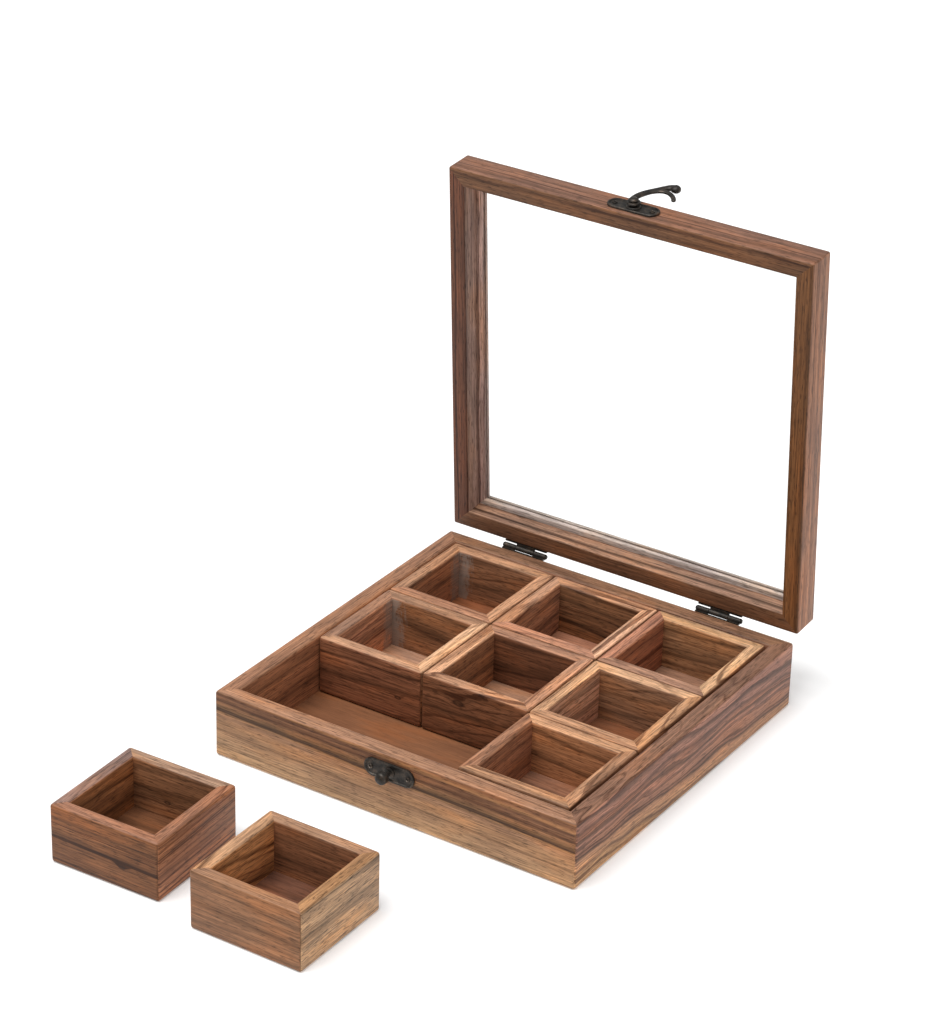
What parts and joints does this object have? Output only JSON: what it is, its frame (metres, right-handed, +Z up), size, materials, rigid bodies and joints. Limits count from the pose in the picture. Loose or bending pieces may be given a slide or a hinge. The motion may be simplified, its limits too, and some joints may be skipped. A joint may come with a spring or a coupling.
{
  "type": "spice box",
  "caption": "Square hardwood spice box with a glazed hinged lid, a swinging hook latch at the front and a grid of loose square cups.",
  "frame": {"origin": "centre of the tray's underside", "axes": "+Z up, +X to the right and +Y to the back, as seen from the latch side"},
  "size_m": [0.2094, 0.3513, 0.2476],
  "materials": {
    "tray_wood": "sanded and oiled sheesham, satin",
    "tray_board": "smooth brown board, matt",
    "lid_wood": "sanded and oiled sheesham with dark streaks, satin",
    "cup_wood": "sanded and oiled sheesham, satin",
    "cup_base_wood": "stained thin wood, satin",
    "dark_bronze": "cast and stamped metal with a dark antique bronze finish",
    "lid_glass": "clear float glass"
  },
  "bodies": {
    "tray": {"tray_front_wall": "tray_wood", "tray_right_wall": "tray_wood", "tray_rear_wall": "tray_wood", "tray_left_wall": "tray_wood", "tray_floor_panel": "tray_board", "catch_plate": "dark_bronze", "catch_knob": "dark_bronze", "catch_nail_left": "dark_bronze", "catch_nail_right": "dark_bronze", "hinge_left_tray_leaf": "dark_bronze", "hinge_left_pin": "dark_bronze", "hinge_left_tray_screw_1": "dark_bronze", "hinge_left_tray_screw_2": "dark_bronze", "hinge_right_tray_leaf": "dark_bronze", "hinge_right_pin": "dark_bronze", "hinge_right_tray_screw_1": "dark_bronze", "hinge_right_tray_screw_2": "dark_bronze"},
    "lid": {"lid_front_rail": "lid_wood", "lid_right_stile": "lid_wood", "lid_rear_rail": "lid_wood", "lid_left_stile": "lid_wood", "lid_glass": "lid_glass", "latch_plate": "dark_bronze", "latch_rivet": "dark_bronze", "latch_nail_left": "dark_bronze", "latch_nail_right": "dark_bronze", "hinge_left_lid_leaf": "dark_bronze", "hinge_left_lid_screw_1": "dark_bronze", "hinge_left_lid_screw_2": "dark_bronze", "hinge_right_lid_leaf": "dark_bronze", "hinge_right_lid_screw_1": "dark_bronze", "hinge_right_lid_screw_2": "dark_bronze"},
    "hook": {"latch_hook": "dark_bronze"},
    "cup_rear_left": {"cup_rear_left_walls": "cup_wood", "cup_rear_left_floor": "cup_base_wood"},
    "cup_rear_middle": {"cup_rear_middle_walls": "cup_wood", "cup_rear_middle_floor": "cup_base_wood"},
    "cup_rear_right": {"cup_rear_right_walls": "cup_wood", "cup_rear_right_floor": "cup_base_wood"},
    "cup_middle_left": {"cup_middle_left_walls": "cup_wood", "cup_middle_left_floor": "cup_base_wood"},
    "cup_centre": {"cup_centre_walls": "cup_wood", "cup_centre_floor": "cup_base_wood"},
    "cup_middle_right": {"cup_middle_right_walls": "cup_wood", "cup_middle_right_floor": "cup_base_wood"},
    "cup_front_right": {"cup_front_right_walls": "cup_wood", "cup_front_right_floor": "cup_base_wood"},
    "cup_front_left": {"cup_front_left_walls": "cup_wood", "cup_front_left_floor": "cup_base_wood"},
    "cup_front_middle": {"cup_front_middle_walls": "cup_wood", "cup_front_middle_floor": "cup_base_wood"}
  },
  "joints": [
    {"name": "lid_hinge", "type": "hinge", "parent": "tray", "child": "lid", "pos_m": [0, 0.1044, 0.03555], "axis": [-1, 0, 0], "range_deg": [-86.4, 96]},
    {"name": "hook_swing", "type": "hinge", "parent": "lid", "child": "hook", "pos_m": [0, 0.0989, 0.24161], "axis": [0, -0.0628, 0.998], "range_deg": [-155, 170]},
    {"name": "lift_cup_rear_left", "type": "slide", "parent": "tray", "child": "cup_rear_left", "axis": [0, 0, 1], "range_m": [0, 0.05]},
    {"name": "lift_cup_rear_middle", "type": "slide", "parent": "tray", "child": "cup_rear_middle", "axis": [0, 0, 1], "range_m": [0, 0.05]},
    {"name": "lift_cup_rear_right", "type": "slide", "parent": "tray", "child": "cup_rear_right", "axis": [0, 0, 1], "range_m": [0, 0.05]},
    {"name": "lift_cup_middle_left", "type": "slide", "parent": "tray", "child": "cup_middle_left", "axis": [0, 0, 1], "range_m": [0, 0.05]},
    {"name": "lift_cup_centre", "type": "slide", "parent": "tray", "child": "cup_centre", "axis": [0, 0, 1], "range_m": [0, 0.05]},
    {"name": "lift_cup_middle_right", "type": "slide", "parent": "tray", "child": "cup_middle_right", "axis": [0, 0, 1], "range_m": [0, 0.05]},
    {"name": "lift_cup_front_right", "type": "slide", "parent": "tray", "child": "cup_front_right", "axis": [0, 0, 1], "range_m": [0, 0.05]},
    {"name": "lift_cup_front_left", "type": "slide", "parent": "tray", "child": "cup_front_left", "axis": [0, 0, 1], "range_m": [0, 0.05]},
    {"name": "lift_cup_front_middle", "type": "slide", "parent": "tray", "child": "cup_front_middle", "axis": [0, 0, 1], "range_m": [0, 0.05]}
  ]
}
